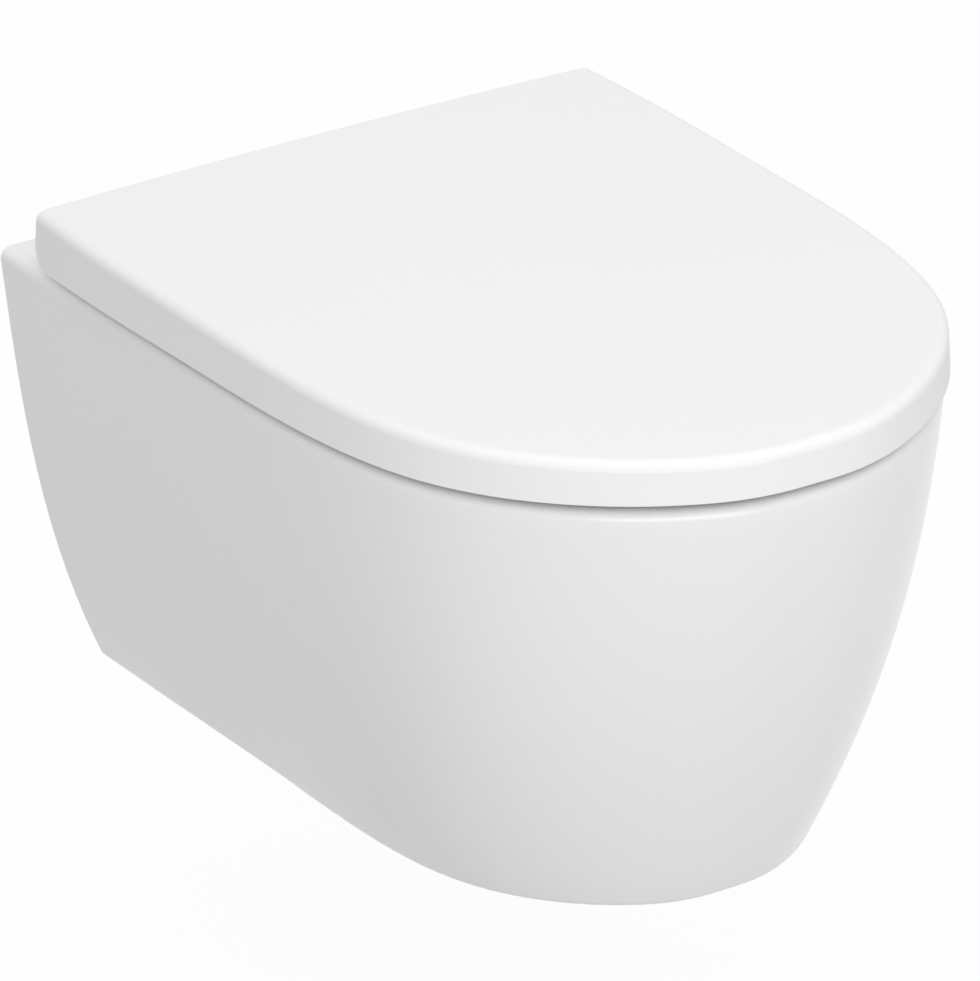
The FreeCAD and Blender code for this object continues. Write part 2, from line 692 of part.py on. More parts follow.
lip_back = lid_rear + size("lid_lip")
room = leaning_form(size("lid_wall"), lip_back, lid_edge - past, lid_above)
room = room.common(under_crown(size("lid_top")))
across = lid_half - 2 * size("lid_wall")
rear_y = (-lid_rear + past, -lip_back - past)
under_lip = box_between((-across, across), rear_y, (rim, axis_z + past))
corner_size = size("lid_corner")
corner_y = -lid_rear - corner_size
corner_z = lid_edge + corner_size
corner_x = (-2 * lid_half, 2 * lid_half)
corner_box = box_between(corner_x, (corner_y, past), (rim, corner_z))
corner_at = Vector(-2 * lid_half, corner_y, corner_z)
corner_round = Part.makeCylinder(corner_size, 4 * lid_half, corner_at, Vector(1, 0, 0))
removed = [room, under_lip, corner_box.cut(corner_round)]
bosses = []
arm_top = rim + value(LID_ARM_TOP)
arm_far = hinge_setback + size("arm_reach")
arm_width = value(ARM_WIDTH)
boss_margin = size("boss_margin")
lid_arm_near = hinge_x - size("block_width") / 2 - size("side_gap")
lid_arm_x = (lid_arm_near, lid_arm_near - arm_width)
lid_arm_mid = sum(lid_arm_x) / 2
seat_arm_near = block_side + size("side_gap")
seat_arm_x = (seat_arm_near, seat_arm_near + arm_width)
seat_arm_mid = sum(seat_arm_x) / 2
screw_setbacks = [value(setback) for setback in SCREW_SETBACKS]
screw_hole = size("screw_radius") + size("slip")
for side in (-1, 1):
    notch_x = (side * (block_side + past), side * (hinge_x - size("block_width") / 2 - past))
    notch_top = axis_z + size("barrel_radius") + past
    removed.append(box_between(notch_x, rear_y, (rim, notch_top)))
    boss_x = (side * (lid_arm_x[0] - boss_margin), side * (lid_arm_x[1] + boss_margin))
    boss_y = (axis_y - size("barrel_radius") - boss_margin, -arm_far + boss_margin)
    boss_z = (arm_top, rim + lid_height - boss_margin)
    bosses.append(box_between(boss_x, boss_y, boss_z))
shell = blank.cut(removed).fuse(bosses)
screw_holes = []
for side in (-1, 1):
    for setback in screw_setbacks:
        at = Vector(side * lid_arm_mid, -setback, arm_top - past)
        depth = size("lid_screw_length") - size("lid_arm_plate") + size("loose") + past
        screw_holes.append(Part.makeCylinder(screw_hole, depth, at))
shell = shell.cut(screw_holes).removeSplitter()
lid = doc.addObject("Part::Feature", "lid")
lid.Shape = shell
node(lid, "lid")

# The seat: a solid moulded ring with rounded upper edges, slots for its two hinge arms
# and holes for its buffers.

seat_low = rim + size("seat_gap")
seat_high = seat_low + size("seat_thickness")
seat_rear = value(SEAT_REAR)
seat_face = Part.Face(lid_outline(size("seat_inset"), seat_rear, seat_low))
ring = seat_face.extrude(Vector(0, 0, size("seat_thickness")))
hole_half = value(OPENING_WIDTH) / 2 - size("seat_overlap")
hole_front = value(OPENING_FRONT) - size("seat_overlap")
hole_back = size("opening_back") + size("seat_back_overlap")
hole_face = Part.Face(egg(hole_half, hole_front, hole_back, seat_low - past))
ring = ring.cut(hole_face.extrude(Vector(0, 0, size("seat_thickness") + 2 * past)))


def goes_round_hole(box):
    return box.XLength < 2 * (hole_half + past)


def goes_round_front(box):
    return not goes_round_hole(box) and box.YLength > past


def runs_along_back(box):
    return not goes_round_hole(box) and box.YLength < past


for outer_edge in (goes_round_front, runs_along_back):
    ring = ring.makeFillet(size("seat_outer_rounding"), edges_at(ring, seat_high, outer_edge))
ring = ring.makeFillet(size("seat_inner_rounding"), edges_at(ring, seat_high, goes_round_hole))
ring = ring.makeFillet(size("seat_under_rounding"), edges_at(ring, seat_low, goes_round_hole))
slots = []
loose = size("loose")
slot_top = rim + value(SEAT_ARM_LOW) + size("seat_arm_plate") + size("slip")
for side in (-1, 1):
    slot_x = (side * (seat_arm_x[0] - loose), side * (seat_arm_x[1] + loose))
    slot_y = (-seat_rear + past, -arm_far - loose)
    slots.append(box_between(slot_x, slot_y, (rim, slot_top)))
    for setback in screw_setbacks:
        at = Vector(side * seat_arm_mid, -setback, slot_top - past)
        depth = size("seat_screw_length") - size("seat_arm_plate") + loose + past
        slots.append(Part.makeCylinder(screw_hole, depth, at))
    for across_text, setback_text in BUFFER_PLACES:
        at = Vector(side * value(across_text), -value(setback_text), seat_low - past)
        stem = size("buffer_stem_radius") + size("slip")
        slots.append(Part.makeCylinder(stem, size("buffer_stem") + loose + past, at))
seat = doc.addObject("Part::Feature", "seat")
seat.Shape = ring.cut(slots)
node(seat, "seat")


# Plain solids and their joins, bound to the sheet.

def cylinder(name, radius, length, x="0", y="0", z="0", turn=None):
    item = doc.addObject("Part::Cylinder", name)
    bind(item, Radius=radius, Height=length)
    place(item, x, y, z, turn)
    return item


def block(name, length, width, height, x="0", y="0", z="0"):
    item = doc.addObject("Part::Box", name)
    bind(item, Length=length, Width=width, Height=height)
    place(item, x, y, z)
    return item


def joined(name, pieces):
    item = doc.addObject("Part::MultiFuse", name)
    item.Shapes = pieces
    item.Refine = True
    return item


def cut(name, base, tools):
    tool = tools[0]
    if len(tools) > 1:
        tool = joined(name + "_tools", tools)
    item = doc.addObject("Part::Cut", name)
    item.Base = base
    item.Tool = tool
    return item


TO_RIGHT = (Vector(0, 1, 0), 90)
TO_LEFT = (Vector(0, 1, 0), -90)
FROM_WALL = (Vector(1, 0, 0), 90)
HINGE_X = "hinge_spacing / 2"
AXIS_Y = "-" + HINGE_SETBACK
AXIS_Z = "rim_height + " + HINGE_HEIGHT
BLOCK_SIDE = "(hinge_spacing / 2 + block_width / 2 + side_gap)"
BLOCK_INNER = "(hinge_spacing / 2 - block_width / 2 - side_gap)"

# Hinge posts: on each side a steel stud stands in an expansion sleeve in the deck, and
# holds a rosette on a rubber gasket.

gasket_top = "rim_height + gasket_thickness"
rosette_top = "rim_height + gasket_thickness + rosette_thickness"
gasket = tube("gasket", "rosette_radius - gasket_inset", "stud_radius + slip", "0",
              "gasket_thickness")
place(gasket, HINGE_X, AXIS_Y, "rim_height")
pair("rosette_gaskets", gasket)

rosette_edge = "rosette_radius - rosette_thickness / 2"
rosette = turned("rosette", [
    ("stud_radius + slip", "0"),
    ("rosette_radius", "0"),
    ("rosette_radius", "rosette_thickness / 2"),
    (rosette_edge, "rosette_thickness"),
    ("stud_radius + slip", "rosette_thickness"),
])
place(rosette, HINGE_X, AXIS_Y, gasket_top)
left_and_right(rosette, "rosette")

sleeve = tube("sleeve", SLEEVE_RADIUS, "stud_radius + slip", "-sleeve_length", "0")
place(sleeve, HINGE_X, AXIS_Y, "rim_height")
pair("expansion_sleeves", sleeve)

cone = turned("cone", [
    ("stud_radius + slip", "-sleeve_length - cone_height"),
    (SLEEVE_RADIUS, "-sleeve_length - cone_height"),
    (SLEEVE_RADIUS, "-sleeve_length - cone_height / 2"),
    ("stud_radius + small_chamfer", "-sleeve_length"),
    ("stud_radius + slip", "-sleeve_length"),
])
place(cone, HINGE_X, AXIS_Y, "rim_height")
pair("cone_nuts", cone)

STUD_LOW = "-gasket_thickness - rosette_thickness - sleeve_length - cone_height"
GROOVE_MIDDLE = "button_height - gasket_thickness - rosette_thickness"
GROOVE_LOW = GROOVE_MIDDLE + " - stud_groove_width / 2"
GROOVE_HIGH = GROOVE_MIDDLE + " + stud_groove_width / 2"
STUD_HEAD = "(%s - gasket_thickness - rosette_thickness - pin_radius - stud_pin_gap)" % HINGE_HEIGHT
stud = turned("stud", [
    ("0", STUD_LOW),
    ("stud_radius", STUD_LOW),
    ("stud_radius", "0"),
    ("stud_head_radius", "0"),
    ("stud_head_radius", GROOVE_LOW),
    ("stud_groove_radius", GROOVE_LOW),
    ("stud_groove_radius", GROOVE_HIGH),
    ("stud_head_radius", GROOVE_HIGH),
    ("stud_head_radius", STUD_HEAD + " - small_chamfer"),
    ("stud_head_radius - small_chamfer", STUD_HEAD),
    ("0", STUD_HEAD),
])
place(stud, HINGE_X, AXIS_Y, rosette_top)
pair("hinge_studs", stud)

# Hinge blocks: each slides down over its stud and carries the steel hinge pin.  A
# sprung button in its front frees it for cleaning.

hinge_block = doc.addObject("PartDesign::Body", "hinge_block")
LOW_Z = "gasket_thickness + rosette_thickness + lift_gap - " + HINGE_HEIGHT
cheek = sketch_on(hinge_block, "YZ_Plane", "cheek")
draw_corners(cheek, [
    ("-barrel_radius", LOW_Z),
    ("barrel_radius", LOW_Z),
    ("barrel_radius", "0"),
    ("-barrel_radius", "0"),
])
crown_circle = sketch_on(hinge_block, "YZ_Plane", "crown_circle")
draw_circle(crown_circle, "0", "0", "barrel_radius")
for sketch in (cheek, crown_circle):
    pad = hinge_block.newObject("PartDesign::Pad", sketch.Name + "_pad")
    pad.Profile = sketch
    pad.SideType = "Symmetric"
    bind(pad, Length="block_width")
doc.recompute()


def pocket(body, role, name, circle, length, shift, far_way):
    """A round blind hole; shift moves its sketch along the plane's normal."""
    sketch = sketch_on(body, role, name)
    sketch.setExpression("AttachmentOffset.Base.z", formula(shift))
    draw_circle(sketch, *circle)
    hole = body.newObject("PartDesign::Pocket", name + "_pocket")
    hole.Profile = sketch
    hole.Reversed = far_way
    bind(hole, Length=length)
    doc.recompute()
    return hole


pocket(hinge_block, "XY_Plane", "stud_bore", ("0", "0", "stud_head_radius + slip"),
       STUD_HEAD, LOW_Z, True)
pin_bore = sketch_on(hinge_block, "YZ_Plane", "pin_bore")
draw_circle(pin_bore, "0", "0", "pin_radius + slip")
pin_pocket = hinge_block.newObject("PartDesign::Pocket", "pin_pocket")
pin_pocket.Profile = pin_bore
pin_pocket.SideType = "Symmetric"
bind(pin_pocket, Length="block_width * 2")
button_bore = pocket(hinge_block, "XZ_Plane", "button_bore",
                     ("0", "button_height - " + HINGE_HEIGHT, "button_radius + slip"),
                     "barrel_radius", "barrel_radius", False)
upright = []
for number, edge in enumerate(button_bore.Shape.Edges, start=1):
    box = edge.BoundBox
    at_side = abs(abs(box.XMin) - size("block_width") / 2) < HAIR and box.XLength < HAIR
    if at_side and box.YLength < HAIR and box.ZLength > size("barrel_radius"):
        upright.append("Edge%d" % number)
rounding = hinge_block.newObject("PartDesign::Fillet", "upright_rounding")
rounding.Base = (button_bore, upright)
bind(rounding, Radius="block_rounding")
place(hinge_block, HINGE_X, AXIS_Y, AXIS_Z)
left_and_right(hinge_block, "hinge_block")

BUTTON_END = "button_clearance + button_travel + stud_head_radius - barrel_radius"
BUTTON_STAND = "(button_travel + button_rest_gap)"
button = turned("button", [
    ("0", BUTTON_END),
    ("button_radius", BUTTON_END),
    ("button_radius", BUTTON_STAND),
    ("button_radius + button_cap_rim", BUTTON_STAND),
    ("button_radius + button_cap_rim", BUTTON_STAND + " + button_cap"),
    ("0", BUTTON_STAND + " + button_cap"),
])
place(button, HINGE_X, AXIS_Y + " - barrel_radius", "rim_height + button_height", FROM_WALL)
left_and_right(button, "release_button")

pin_length = "block_width + 2 * (side_gap + hub_length)"
pin = turned("pin", [
    ("0", "0"),
    ("pin_radius - pin_chamfer", "0"),
    ("pin_radius", "pin_chamfer"),
    ("pin_radius", pin_length + " - pin_chamfer"),
    ("pin_radius - pin_chamfer", pin_length),
    ("0", pin_length),
])
place(pin, HINGE_X + " - block_width / 2 - side_gap - hub_length", AXIS_Y, AXIS_Z, TO_RIGHT)
left_and_right(pin, "hinge_pin")

# Hinge arms: the lid's arms turn on the inner ends of the pins, the seat's arms on the
# outer ends.  Each is screwed on from below.


def arm_screw_holes(name, plate, mid, plate_low):
    holes = []
    for number, setback in enumerate(SCREW_SETBACKS):
        title = "%s_%d" % (name, number)
        start = plate_low + " - past"
        holes.append(cylinder(title + "_hole", "screw_radius + slip", plate + " + 2 * past",
                              mid, "-" + setback, start))
        holes.append(cylinder(title + "_head", "screw_head_radius + slip",
                              "screw_head_height + past", mid, "-" + setback, start))
    return holes


LID_ARM_X = BLOCK_INNER + " - " + ARM_WIDTH
LID_ARM_MID = LID_ARM_X + " + %s / 2" % ARM_WIDTH
SEAT_ARM_MID = BLOCK_SIDE + " + %s / 2" % ARM_WIDTH
ARM_END_Y = AXIS_Y + " - arm_reach"
lid_plate_low = "rim_height + " + LID_ARM_TOP + " - lid_arm_plate"
lid_barrel = cylinder("lid_barrel", "barrel_radius", ARM_WIDTH, LID_ARM_X, AXIS_Y, AXIS_Z,
                      TO_RIGHT)
lid_plate = block("lid_plate", ARM_WIDTH, "arm_reach", "lid_arm_plate", LID_ARM_X, ARM_END_Y,
                  lid_plate_low)
lid_bore = cylinder("lid_bore", ARM_BORE, ARM_BORE_DEPTH, BLOCK_INNER + " - " + ARM_BORE_DEPTH,
                    AXIS_Y, AXIS_Z, TO_RIGHT)
lid_arm_holes = arm_screw_holes("lid_arm", "lid_arm_plate", LID_ARM_MID, lid_plate_low)
lid_arm = cut("lid_arm", joined("lid_arm_blank", [lid_barrel, lid_plate]),
              [lid_bore] + lid_arm_holes)
left_and_right(lid_arm, "lid_hinge_arm")

seat_plate_low = "rim_height + " + SEAT_ARM_LOW
seat_barrel = cylinder("seat_barrel", "barrel_radius", ARM_WIDTH, BLOCK_SIDE, AXIS_Y, AXIS_Z,
                       TO_RIGHT)
seat_plate = block("seat_plate", ARM_WIDTH, "arm_reach", "seat_arm_plate", BLOCK_SIDE,
                   ARM_END_Y, seat_plate_low)
seat_web = block("seat_web", ARM_WIDTH, "seat_behind - loose",
                 HINGE_HEIGHT + " - " + SEAT_ARM_LOW, BLOCK_SIDE, "loose - " + SEAT_REAR,
                 seat_plate_low)
seat_bore = cylinder("seat_bore", ARM_BORE, ARM_BORE_DEPTH, BLOCK_SIDE, AXIS_Y, AXIS_Z, TO_RIGHT)
seat_arm_holes = arm_screw_holes("seat_arm", "seat_arm_plate", SEAT_ARM_MID, seat_plate_low)
seat_arm = cut("seat_arm", joined("seat_arm_blank", [seat_barrel, seat_plate, seat_web]),
               [seat_bore] + seat_arm_holes)
left_and_right(seat_arm, "seat_hinge_arm")

# Dampers slow lid and seat as they fall: the lid's sits in its left arm, the seat's in
# its right arm, and plain bushes fill the other two arms.


def damper(name):
    collar = HUB_BORE + " + damper_collar"
    return turned(name, [
        (HUB_BORE, "0"),
        (collar, "0"),
        (collar, "damper_collar_length"),
        (HUB_RADIUS, "damper_collar_length"),
        (HUB_RADIUS, "hub_length"),
        (HUB_BORE, "hub_length"),
    ])


node(damper("seat_damper"), "seat_damper")
place(nodes[-1], BLOCK_SIDE, AXIS_Y, AXIS_Z, TO_RIGHT)
node(damper("lid_damper"), "lid_damper")
place(nodes[-1], "-" + BLOCK_INNER, AXIS_Y, AXIS_Z, TO_RIGHT)
node(tube("seat_bush", HUB_RADIUS, HUB_BORE, "0", "hub_length"), "seat_bush")
place(nodes[-1], "-" + BLOCK_SIDE, AXIS_Y, AXIS_Z, TO_LEFT)
node(tube("lid_bush", HUB_RADIUS, HUB_BORE, "0", "hub_length"), "lid_bush")
place(nodes[-1], BLOCK_INNER, AXIS_Y, AXIS_Z, TO_LEFT)


def arm_screw(name, length):
    return turned(name, [
        ("0", "0"),
        ("screw_head_radius", "0"),
        ("screw_head_radius", "screw_head_height"),
        ("screw_radius", "screw_head_height"),
        ("screw_radius", length),
        ("0", length),
    ])


def arm_screws(name, length, mid, low):
    screws = []
    for number, setback in enumerate(SCREW_SETBACKS):
        title = "%s_%d" % (name, number)
        screw = arm_screw(title, length)
        place(screw, mid, "-" + setback, low)
        screws += [screw, mirrored(screw, title + "_twin")]
    group(name, screws)


arm_screws("lid_arm_screws", "lid_screw_length", LID_ARM_MID, lid_plate_low)
arm_screws("seat_arm_screws", "seat_screw_length", SEAT_ARM_MID, seat_plate_low)

# Rubber buffers: four under the seat, with stems in its underside, and four under the
# lid, cut to the curve of its ceiling.

seat_buffers = []
foot_high = "seat_gap - loose"
for number, (across_text, setback_text) in enumerate(BUFFER_PLACES):
    buffer = turned("seat_buffer_%d" % number, [
        ("0", "0"),
        ("buffer_radius - small_chamfer", "0"),
        ("buffer_radius", "small_chamfer"),
        ("buffer_radius", foot_high),
        ("buffer_stem_radius", foot_high),
        ("buffer_stem_radius", foot_high + " + buffer_stem"),
        ("0", foot_high + " + buffer_stem"),
    ])
    place(buffer, across_text, "-" + setback_text, "rim_height + loose")
    seat_buffers += [buffer, mirrored(buffer, "seat_buffer_twin_%d" % number)]
group("seat_buffers", seat_buffers)

ceiling = under_crown(size("lid_top") + size("slip"))
pads_of_lid = []
for side in (-1, 1):
    for across_text, setback_text in BUFFER_PLACES:
        x = side * (value(across_text) - size("lid_buffer_step"))
        at = Vector(x, -value(setback_text), seat_high + loose)
        column = Part.makeCylinder(size("lid_buffer_radius"), lid_height, at)
        pads_of_lid.append(column.common(ceiling))
lid_buffers = doc.addObject("Part::Feature", "lid_buffers")
lid_buffers.Shape = Part.makeCompound(pads_of_lid)
node(lid_buffers, "lid_buffers")

# Concealed wall fixing: a bracket on each wall stud sits in a pocket of the pan, and a
# screw from below, through a nylon bush in the pan, clamps the pan to it.

FIXING_X = "fixing_spacing / 2"
bracket_body = tube("bracket_body", BRACKET_RADIUS, "fixing_hole_radius", "0", "bracket_length")
place(bracket_body, FIXING_X, "0", "0", FROM_WALL)
bracket_bore = cylinder("bracket_bore", BRACKET_BORE, "bracket_length", FIXING_X,
                        "-bracket_base", "0", FROM_WALL)
clamp_hole = cylinder("clamp_hole", "clamp_radius + slip", "bracket_wall + 2 * past", FIXING_X,
                      "-clamp_setback", "-%s - past" % BRACKET_RADIUS)
left_and_right(cut("bracket", bracket_body, [bracket_bore, clamp_hole]), "wall_bracket")

washer = tube("washer", "washer_radius", "fixing_hole_radius", "0", "washer_thickness")
place(washer, FIXING_X, "-bracket_base", "0", FROM_WALL)
pair("fixing_washers", washer)

nut_blank = doc.addObject("Part::Prism", "nut_blank")
nut_blank.Polygon = 6
nut_blank.setExpression("Circumradius", formula("nut_flats") + " / 2 / cos(30 deg)")
bind(nut_blank, Height="nut_height")
place(nut_blank, FIXING_X, "-bracket_base - washer_thickness", "0", FROM_WALL)
nut_bore = cylinder("nut_bore", "nut_bore_radius", "nut_height + 2 * past", FIXING_X,
                    "-bracket_base - washer_thickness + past", "0", FROM_WALL)
pair("fixing_nuts", cut("nut", nut_blank, [nut_bore]))

PAD_LOW = "-(%s + loose + pad_wall)" % BRACKET_RADIUS
bush = turned("bush", [
    ("clamp_radius + slip", "-clamp_bush_flange"),
    (CLAMP_BUSH + " + clamp_bush_rim", "-clamp_bush_flange"),
    (CLAMP_BUSH + " + clamp_bush_rim", "0"),
    (CLAMP_BUSH, "0"),
    (CLAMP_BUSH, "pad_wall"),
    ("clamp_radius + slip", "pad_wall"),
])
place(bush, FIXING_X, "-clamp_setback", PAD_LOW)
pair("clamp_bushes", bush)

clamp = turned("clamp", [
    ("0", "0"),
    ("clamp_radius - small_chamfer", "0"),
    ("clamp_radius", "-small_chamfer"),
    ("clamp_radius", "-clamp_length"),
    ("clamp_head_radius", "-clamp_length"),
    ("clamp_head_radius", "-clamp_length - clamp_head_height"),
    ("0", "-clamp_length - clamp_head_height"),
])
place(clamp, FIXING_X, "-clamp_setback", "-%s - clamp_tip_gap" % BRACKET_BORE)
pair("clamp_screws", clamp)

# Flush fittings: a rubber seal in the inlet for the flush pipe, and a spreader where
# the channel enters the bowl, which throws water round the rimless wall.

seal = turned("seal", [
    ("seal_bore_radius", "0"),
    (INLET_RADIUS + " + seal_flange_rim", "0"),
    (INLET_RADIUS + " + seal_flange_rim", "seal_flange"),
    (INLET_RADIUS + " - slip", "seal_flange"),
    (INLET_RADIUS + " - slip", "seal_length"),
    ("seal_bore_radius", "seal_length"),
])
place(seal, "0", "seal_flange - inlet_setback", "inlet_above_fixings", FROM_WALL)
node(seal, "inlet_seal")

BODY_RADIUS = "channel_radius - slip"
GROOVE_RADIUS = "channel_radius - slip - ring_depth"
spreader_body = turned("spreader_body", [
    ("channel_radius - spreader_wall", "0"),
    (BODY_RADIUS, "0"),
    (BODY_RADIUS, "ring_back"),
    (GROOVE_RADIUS, "ring_back"),
    (GROOVE_RADIUS, "ring_back + ring_width"),
    (BODY_RADIUS, "ring_back + ring_width"),
    (BODY_RADIUS, "spreader_length - spreader_wall"),
    ("channel_radius + spreader_rim", "spreader_length - spreader_wall"),
    ("channel_radius + spreader_rim", "spreader_length"),
    ("0", "spreader_length"),
    ("0", "spreader_length - spreader_wall"),
    ("channel_radius - spreader_wall", "spreader_length - spreader_wall"),
])
SPREADER_Y = "-opening_back - spreader_stand + spreader_length"
place(spreader_body, "0", SPREADER_Y, "inlet_above_fixings", FROM_WALL)
WINDOW_Y = "-opening_back - spreader_stand + spreader_wall"
side_windows = block("side_windows", "2 * (channel_radius + past)", "window_length",
                     "window_height", "-channel_radius - past", WINDOW_Y,
                     "inlet_above_fixings - window_height / 2")
low_window = block("low_window", "window_width", "window_length", "channel_radius + past",
                   "-window_width / 2", WINDOW_Y, "inlet_above_fixings - channel_radius - past")
node(cut("spreader", spreader_body, [side_windows, low_window]), "flush_spreader")

sealing_ring = tube("sealing_ring", BODY_RADIUS, GROOVE_RADIUS + " + slip", "ring_back + slip",
                    "ring_back + ring_width - slip")
place(sealing_ring, "0", SPREADER_Y, "inlet_above_fixings", FROM_WALL)
node(sealing_ring, "spreader_ring")

# Every feature has to have worked, and every sub-part has to be a sound solid.

doc.recompute()
for item in doc.Objects:
    faults = [state for state in item.State if state in ("Invalid", "Error")]
    if faults:
        raise RuntimeError("%s: %s" % (item.Label, faults))
for item in nodes:
    if item.Shape.isNull() or not item.Shape.isValid() or not item.Shape.Solids:
        raise RuntimeError("%s has no sound solid" % item.Label)

os.makedirs("parts", exist_ok=True)
for item in nodes:
    item.Shape.exportStep(os.path.join("parts", item.Label + ".step"))
print("%d sub-parts written" % len(nodes))
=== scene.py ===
import math

import bpy
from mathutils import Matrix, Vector
from mathutils.bvhtree import BVHTree


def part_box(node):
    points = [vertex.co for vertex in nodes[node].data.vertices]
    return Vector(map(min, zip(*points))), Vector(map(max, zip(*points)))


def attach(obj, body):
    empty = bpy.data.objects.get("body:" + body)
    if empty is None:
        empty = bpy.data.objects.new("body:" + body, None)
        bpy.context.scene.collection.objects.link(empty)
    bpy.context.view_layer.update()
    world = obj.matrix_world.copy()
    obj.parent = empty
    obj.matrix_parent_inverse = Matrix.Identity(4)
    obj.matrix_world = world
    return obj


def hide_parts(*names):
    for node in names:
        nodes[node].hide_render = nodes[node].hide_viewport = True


# A wall hung toilet with its seat and lid down.  Metres.  The wall is the plane Y = 0, the
# toilet reaches out towards -Y, and +Z is up.
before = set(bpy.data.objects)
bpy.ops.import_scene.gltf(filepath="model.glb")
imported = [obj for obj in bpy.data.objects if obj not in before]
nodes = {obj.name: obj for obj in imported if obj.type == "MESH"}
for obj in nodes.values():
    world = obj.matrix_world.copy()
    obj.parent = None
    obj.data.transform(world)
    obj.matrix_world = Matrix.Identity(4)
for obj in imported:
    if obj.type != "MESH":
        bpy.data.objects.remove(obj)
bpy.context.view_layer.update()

# The pan: vitreous china, glazed white.  Its five CAD nodes, a rim, a shell, a bowl, a trapway
# and an inlet, are joined to one skin.  The glaze goes on what counts as seen or washed; the
# back at the wall and the inside of the shell are meant to stay bare.

class Socket:
    """An output of a node, which can be written into shader maths."""

    def __init__(self, recipe, link):
        self.recipe = recipe
        self.link = link

    def maths(self, kind, *terms):
        return self.recipe.node("ShaderNodeMath", {"operation": kind}, terms)

    def __add__(self, other):
        return self.maths("ADD", self, other)

    def __radd__(self, other):
        return self.maths("ADD", other, self)

    def __sub__(self, other):
        return self.maths("SUBTRACT", self, other)

    def __rsub__(self, other):
        return self.maths("SUBTRACT", other, self)

    def __mul__(self, other):
        return self.maths("MULTIPLY", self, other)

    def __rmul__(self, other):
        return self.maths("MULTIPLY", other, self)

    def larger(self, other):
        return self.maths("MAXIMUM", self, other)

    def over(self, edge, width):
        """0 below the edge and 1 above it, with a soft step of this width."""
        start = edge - width / 2
        return self.recipe.node("ShaderNodeClamp", {}, [(self - start) * (1 / width)])


class Recipe:
    """The nodes of a material or of the room, under construction."""

    def __init__(self, owner):
        owner.use_nodes = True
        self.tree = owner.node_tree

    def node(self, kind, settings, values=(), output=0):
        made = self.tree.nodes.new(kind)
        for name, setting in settings.items():
            setattr(made, name, setting)
        pairs = values.items() if isinstance(values, dict) else enumerate(values)
        for key, given in pairs:
            self.feed(made.inputs[key], given)
        return Socket(self, made.outputs[output])

    def feed(self, entry, given):
        if isinstance(given, Socket):
            self.tree.links.new(given.link, entry)
        else:
            entry.default_value = given


class Paint(Recipe):
    """A finish under construction: one material with one main shader."""

    def __init__(self, name, **constants):
        self.material = bpy.data.materials.new(name)
        super().__init__(self.material)
        self.shader = self.tree.nodes["Principled BSDF"]
        self.coordinates = self.node("ShaderNodeTexCoord", {}, output="Object")
        self.set(**constants)

    def set(self, **values):
        """Values or links of the shader's own sockets, named as they are there."""
        for name, given in values.items():
            self.feed(self.shader.inputs[name.replace("_", " ")], given)

    def grain(self, per_metre, detail=2.0, stretch=(1.0, 1.0, 1.0), distortion=0.0):
        """Soft noise from 0 to 1 with so many swells to the metre."""
        spot = self.node("ShaderNodeMapping", {}, {"Vector": self.coordinates, "Scale": stretch})
        values = {"Vector": spot, "Scale": per_metre, "Detail": detail}
        return self.node("ShaderNodeTexNoise", {}, {**values, "Distortion": distortion})

    def blend(self, share, first, second):
        """A colour between two others."""
        values = {0: share, 6: (*first, 1.0), 7: (*second, 1.0)}
        return self.node("ShaderNodeMix", {"data_type": "RGBA"}, values, output=2)

    def relief(self, height, depth):
        """A bumped normal; a height of 0 to 1 stands this deep, in metres."""
        return self.node("ShaderNodeBump", {}, {"Distance": depth, "Height": height})


glaze = Paint("white glaze", IOR=1.52, Coat_Weight=0.05, Coat_Roughness=0.10)
pooling = glaze.grain(7.0, detail=1.0)
ripple = glaze.grain(60.0, detail=1.0)
pinholes = glaze.grain(1500.0, detail=0.0).over(0.80, 0.04)
glaze.set(
    Base_Color=glaze.blend(pooling, (0.862, 0.864, 0.864), (0.848, 0.850, 0.852)),
    Roughness=0.15 + pooling * 0.06 + pinholes * 0.15,
    Normal=glaze.relief(ripple - pinholes * 0.3, 0.00007),
)

bisque = Paint("bare china", IOR=1.45)
fired = bisque.grain(900.0, detail=4.0)
clouds = bisque.grain(16.0, detail=3.0)
bisque.set(
    Base_Color=bisque.blend(clouds, (0.74, 0.715, 0.67), (0.66, 0.63, 0.58)),
    Roughness=0.80 + fired * 0.15,
    Normal=bisque.relief(fired, 0.00018),
)


def alone(piece):
    """Select one object only, as the one that operators act on."""
    bpy.ops.object.select_all(action="DESELECT")
    bpy.context.view_layer.objects.active = piece
    piece.select_set(True)


node_weld, seam_weld = 2e-6, 5e-6
smooth_angle = math.radians(32)


def merged_copy(node_name, piece_name):
    """A copy of a CAD node whose loose triangles are joined to one skin."""
    copy = bpy.data.objects.new(piece_name, nodes[node_name].data.copy())
    bpy.context.scene.collection.objects.link(copy)
    copy.data.materials.clear()
    alone(copy)
    bpy.ops.object.mode_set(mode="EDIT")
    bpy.ops.mesh.select_all(action="SELECT")
    bpy.ops.mesh.customdata_custom_splitnormals_clear()
    bpy.ops.mesh.remove_doubles(threshold=node_weld)
    bpy.ops.object.mode_set(mode="OBJECT")
    return copy


def meets_itself(piece, leans):
    """For each face, whether a line out from it, straight or leaning, meets its piece again.

    The lines are shorter than the pan is wide, so some walls inside the shell get the glaze,
    and the lines that lean sideways glaze part of the outlet's outside.
    """
    skin = BVHTree.FromObject(piece, bpy.context.evaluated_depsgraph_get())
    step, reach = 0.0005, 0.3
    met = []
    for face in piece.data.polygons:
        start = face.center + face.normal * step
        ways = (face.normal + Vector(lean) for lean in leans)
        met.append(any(skin.ray_cast(start, way, reach)[0] is not None for way in ways))
    return met


